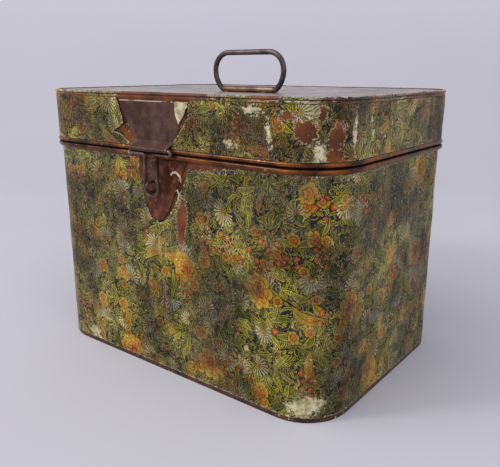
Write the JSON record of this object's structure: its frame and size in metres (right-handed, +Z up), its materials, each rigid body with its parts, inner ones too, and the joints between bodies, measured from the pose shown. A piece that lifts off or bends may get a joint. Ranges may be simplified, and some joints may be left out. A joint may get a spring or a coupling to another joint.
{
  "type": "tin trunk",
  "caption": "Small tin trunk with rounded corners, a hinged slip-over lid, a wire carrying handle, a hasp and staple, and a worn varnished botanical paper all over.",
  "frame": {"origin": "middle of the bottom, on the plane that the trunk rests on", "axes": "+X to the right along the front, -Y out of the front where the hasp hangs, +Z up"},
  "size_m": [0.3844, 0.2878, 0.3323],
  "materials": {
    "lacquered_tin": "worn gloss",
    "bare_tin": "rusted satin",
    "iron_wire": "dark, hand worn",
    "printed_paper": "varnished, worn",
    "lid_top_paper": "varnished, worn through"
  },
  "bodies": {
    "case": {"body_wall": "lacquered_tin", "body_rim_wire": "iron_wire", "neck_collar": "lacquered_tin", "bottom_panel": "lacquered_tin", "body_paper": "printed_paper", "staple_plate": "bare_tin", "staple": "iron_wire", "hinge_strap_left": "bare_tin", "hinge_strap_right": "bare_tin", "hinge_rivets": "bare_tin"},
    "lid": {"lid_skirt": "lacquered_tin", "lid_rim_wire": "iron_wire", "lid_top": "lacquered_tin", "lid_paper": "printed_paper", "lid_top_paper": "lid_top_paper", "hasp_plate": "bare_tin", "handle_strap": "bare_tin", "handle_rivets": "bare_tin"},
    "handle": {"handle_loop": "iron_wire"},
    "hasp": {"hasp_wire": "iron_wire", "hasp_ferrule": "bare_tin"}
  },
  "joints": [
    {"name": "lid_hinge", "type": "hinge", "parent": "case", "child": "lid", "pos_m": [0, 0.1353, 0.237], "axis": [-1, 0, 0], "range_deg": [0, 130]},
    {"name": "handle_swing", "type": "hinge", "parent": "lid", "child": "handle", "pos_m": [0.004, 0, 0.29005], "axis": [1, 0, 0], "range_deg": [-90, 90]},
    {"name": "hasp_swing", "type": "hinge", "parent": "lid", "child": "hasp", "pos_m": [-0.0055, -0.14145, 0.2374], "axis": [-1, 0, 0], "range_deg": [-5, 150]}
  ]
}
